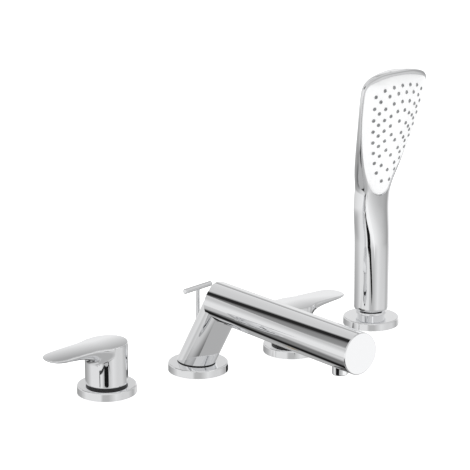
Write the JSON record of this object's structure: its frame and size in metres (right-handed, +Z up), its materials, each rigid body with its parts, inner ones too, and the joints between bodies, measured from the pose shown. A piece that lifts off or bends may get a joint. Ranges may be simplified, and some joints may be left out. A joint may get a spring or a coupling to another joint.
{
  "type": "bath shower mixer",
  "caption": "Deck-mounted bath mixer in separate units: lever valves, a round-tube spout with a pull-rod diverter, and a domed hand shower standing in its holder.",
  "frame": {"origin": "centre of the spout's deck hole, on the deck plane", "axes": "+X along the row of units towards the hand shower, -Y towards the bather (the spout's outlet), +Z up; the deck's top is z = 0"},
  "size_m": [0.486, 0.286, 0.4058],
  "materials": {
    "chrome": "bright chrome plate",
    "chromed_plastic": "chrome plated plastic",
    "white_plastic": "white gloss",
    "silicone": "grey satin silicone",
    "brass": "plain machined brass",
    "rubber": "black matt rubber",
    "ceramic": "ground ceramic",
    "inner_plastic": "moulded, matt",
    "black_plastic": "black, satin",
    "steel": "plain stainless steel"
  },
  "bodies": {
    "fixed_units": {"hot_lower_disc": "ceramic", "hot_cartridge": "brass", "hot_cartridge_seal": "rubber", "hot_valve_body": "brass", "hot_slip_ring": "black_plastic", "hot_escutcheon": "chrome", "cold_lower_disc": "ceramic", "cold_cartridge": "brass", "cold_cartridge_seal": "rubber", "cold_valve_body": "brass", "cold_slip_ring": "black_plastic", "cold_escutcheon": "chrome", "spout_body": "chrome", "spout_end_cap": "chrome", "spout_foot_seal": "rubber", "spout_escutcheon": "chrome", "spout_shank": "brass", "outlet_housing": "chrome", "outlet_insert": "inner_plastic", "outlet_seal": "rubber", "diverter_body": "brass", "diverter_bush": "inner_plastic", "diverter_spring": "steel", "holder_escutcheon": "chrome", "holder_collar": "chrome", "holder_sleeve": "brass", "deck_gaskets": "rubber", "deck_washers": "steel", "deck_nuts": "brass"},
    "hot_lever": {"hot_handle": "chrome", "hot_grub_screw": "steel", "hot_screw_cap": "chrome", "hot_spindle": "brass", "hot_upper_disc": "ceramic"},
    "cold_lever": {"cold_handle": "chrome", "cold_grub_screw": "steel", "cold_screw_cap": "chrome", "cold_spindle": "brass", "cold_upper_disc": "ceramic"},
    "diverter_pull": {"diverter_rod": "chrome", "diverter_bar": "chrome", "diverter_piston": "brass", "diverter_seal": "rubber"},
    "hose_end": {"hose_nut": "chrome", "hose_seal": "rubber"},
    "hand_shower": {"shower_inlet": "inner_plastic", "check_valve": "inner_plastic", "water_tube": "inner_plastic", "shower_shell": "chromed_plastic", "spray_face": "white_plastic", "nozzle_mat": "silicone"}
  },
  "joints": [
    {"name": "hot_lever_turn", "type": "hinge", "parent": "fixed_units", "child": "hot_lever", "pos_m": [-0.112, 0.0046, 0.03], "axis": [0, 0, 1], "range_deg": [0, 90]},
    {"name": "cold_lever_turn", "type": "hinge", "parent": "fixed_units", "child": "cold_lever", "pos_m": [0.114, -0.0155, 0.03], "axis": [0, 0, -1], "range_deg": [0, 90]},
    {"name": "diverter_slide", "type": "slide", "parent": "fixed_units", "child": "diverter_pull", "axis": [0, 0, 1], "range_m": [0, 0.01], "stiffness_N_per_m": 100, "springref_m": -0.02, "deforming": ["diverter_spring"]},
    {"name": "shower_lift", "type": "slide", "parent": "fixed_units", "child": "hose_end", "axis": [0, 0, 1], "range_m": [0, 0.045]},
    {"name": "shower_swivel", "type": "hinge", "parent": "hose_end", "child": "hand_shower", "pos_m": [0.246, -0.0004, 0], "axis": [0, 0, 1], "continuous": true}
  ]
}
